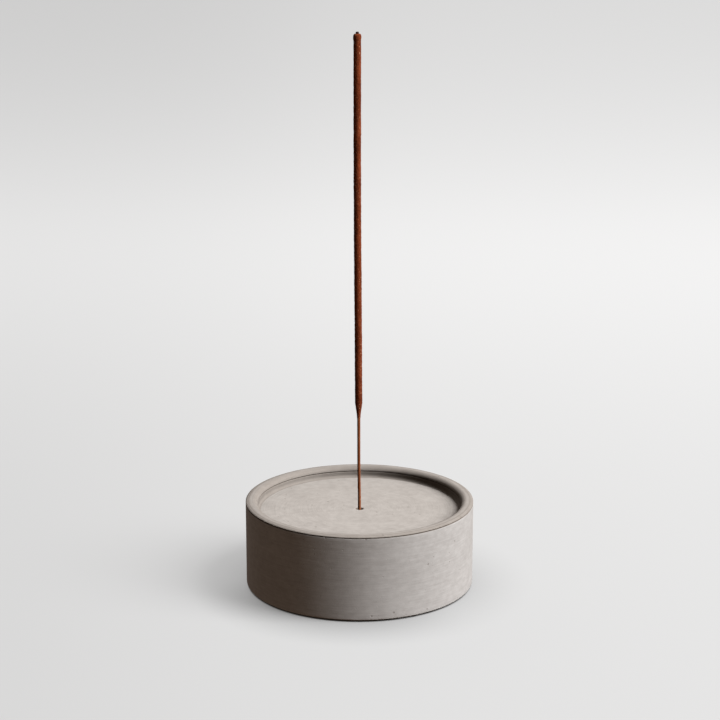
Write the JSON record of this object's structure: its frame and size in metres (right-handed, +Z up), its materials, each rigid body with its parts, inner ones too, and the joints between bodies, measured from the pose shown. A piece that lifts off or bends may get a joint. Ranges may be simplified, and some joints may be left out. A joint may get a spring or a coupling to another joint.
{
  "type": "incense burner",
  "caption": "Low round cast burner with a shallow ash recess, a central stick hole and a felt foot pad, holding one upright incense stick.",
  "frame": {"origin": "centre of the felt pad's underside, on the tabletop", "axes": "+Z up along the stick and the body's axis; the body is round, so +X and +Y are free, with -Y towards the viewer"},
  "size_m": [0.1, 0.1, 0.2422],
  "materials": {
    "cast_body": "matte cast concrete, fine turning marks",
    "adhesive_film": "thin double-sided film",
    "felt": "pressed wool felt",
    "bamboo": "split bamboo, sanded",
    "paste": "dry rolled incense paste, grainy"
  },
  "bodies": {
    "burner": {"body": "cast_body", "pad_adhesive": "adhesive_film", "base_pad": "felt"},
    "stick": {"bamboo_core": "bamboo", "incense_paste": "paste"}
  },
  "joints": [
    {"name": "stick_lift", "type": "slide", "parent": "burner", "child": "stick", "axis": [0, 0, 1], "range_m": [0, 0.024]}
  ]
}
